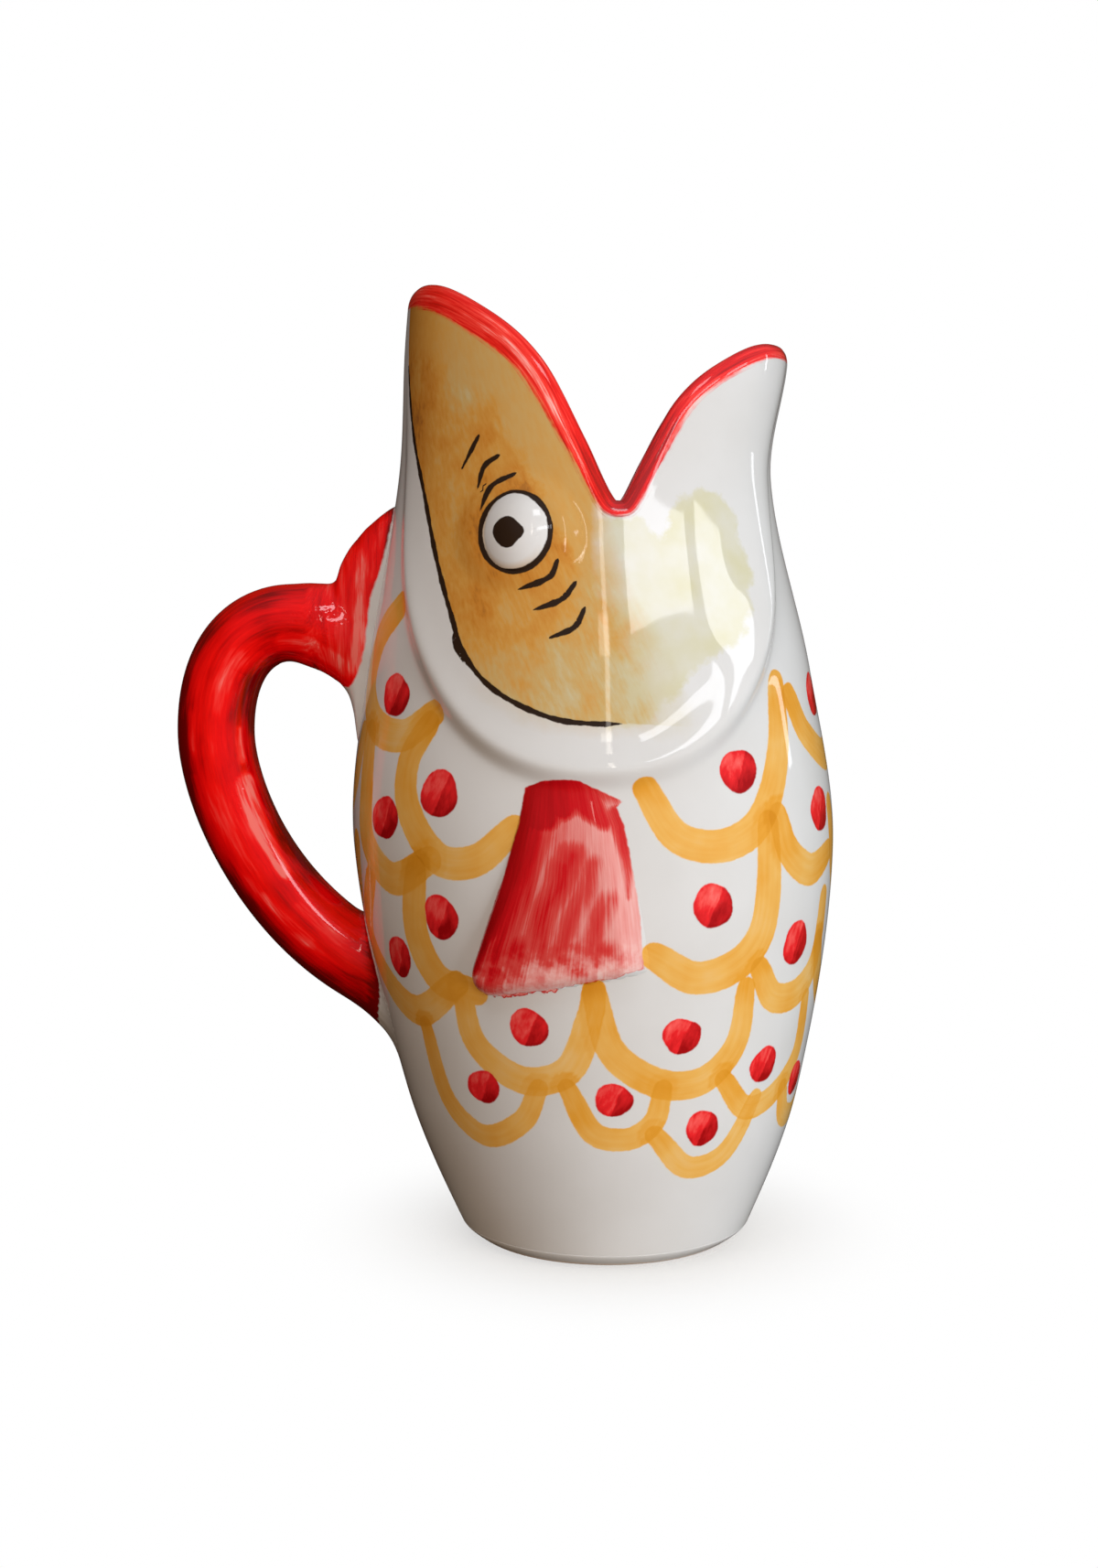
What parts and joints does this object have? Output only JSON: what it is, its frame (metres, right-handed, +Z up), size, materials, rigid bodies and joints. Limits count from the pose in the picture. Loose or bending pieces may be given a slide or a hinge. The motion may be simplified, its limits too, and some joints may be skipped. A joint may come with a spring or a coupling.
{
  "type": "fish-shaped pitcher",
  "caption": "Glazed ceramic pitcher shaped as an upright fish: open mouth as the pouring rim, round belly, curled tail as the handle",
  "frame": {"origin": "Centre of the foot, on the surface the jug stands on", "axes": "+Z up, +X towards the fish's belly and lower jaw, -X towards its back and the tail handle, +Y towards the fish's left side"},
  "size_m": [0.1949, 0.1342, 0.2797],
  "materials": {
    "white_glaze": "glossy white glaze, hand painted",
    "rim_red": "glossy red brushed under clear glaze",
    "tail_red": "glossy deep red brushed under clear glaze",
    "fin_red": "glossy thin red wash over white",
    "bare_clay": "unglazed fired clay, matt"
  },
  "bodies": {
    "root": {"foot": "bare_clay", "body_shell": "white_glaze", "mouth_rim": "rim_red", "tail_handle": "tail_red", "tail_fin": "tail_red", "pectoral_fin_left": "fin_red", "pectoral_fin_right": "fin_red", "eye_left": "white_glaze", "eye_right": "white_glaze"}
  },
  "joints": []
}
